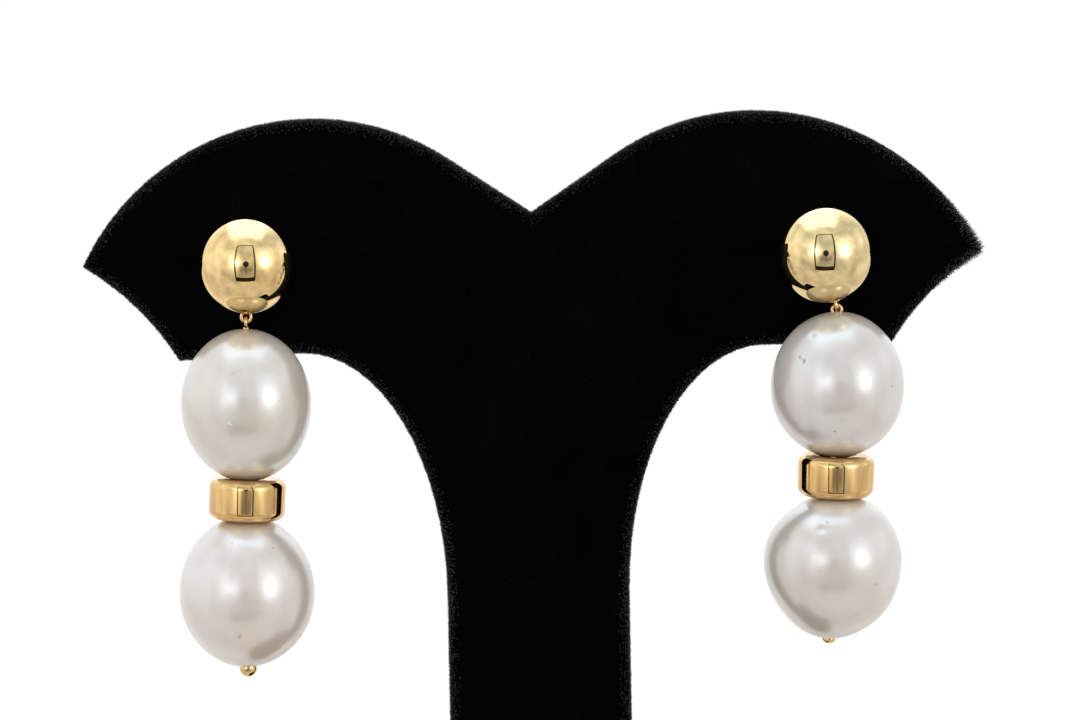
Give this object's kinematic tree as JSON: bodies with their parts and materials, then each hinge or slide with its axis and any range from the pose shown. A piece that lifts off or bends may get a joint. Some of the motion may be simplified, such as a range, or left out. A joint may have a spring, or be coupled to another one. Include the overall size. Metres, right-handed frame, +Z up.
{
  "type": "pearl drop earrings on a display stand",
  "caption": "Gold ball stud earrings with pearl and gold disc drops that swing from small loops, hung on the wings of a plain velvet display stand.",
  "frame": {"origin": "middle of the stand's footprint, on the surface that it stands on", "axes": "+Z up the stand, -Y towards the viewer, so the earrings hang in front of the panel, +X to the viewer's right along the wings"},
  "size_m": [0.101, 0.046, 0.12],
  "materials": {
    "velvet": "black velvet pile, very dark, with a faint pale sheen at its edges",
    "gold": "yellow gold, mirror polished, with faint handling marks",
    "pearl": "silvery white nacre with a soft satin gloss, warm overtones at the rim and small natural blemishes"
  },
  "bodies": {
    "stand": {"stand_base": "velvet", "stand_upright": "velvet", "left_stud": "gold", "left_clutch": "gold", "right_stud": "gold", "right_clutch": "gold"},
    "left_drop": {"left_pin": "gold", "left_upper_pearl": "pearl", "left_gold_disc": "gold", "left_lower_pearl": "pearl"},
    "right_drop": {"right_pin": "gold", "right_upper_pearl": "pearl", "right_gold_disc": "gold", "right_lower_pearl": "pearl"}
  },
  "joints": [
    {"name": "left_drop_swing", "type": "hinge", "parent": "stand", "child": "left_drop", "pos_m": [-0.0317, -0.0097, 0.09836], "axis": [0, 1, 0], "range_deg": [-20, 20]},
    {"name": "right_drop_swing", "type": "hinge", "parent": "stand", "child": "right_drop", "pos_m": [0.03356, -0.0097, 0.09796], "axis": [0, 1, 0], "range_deg": [-20, 20]}
  ]
}
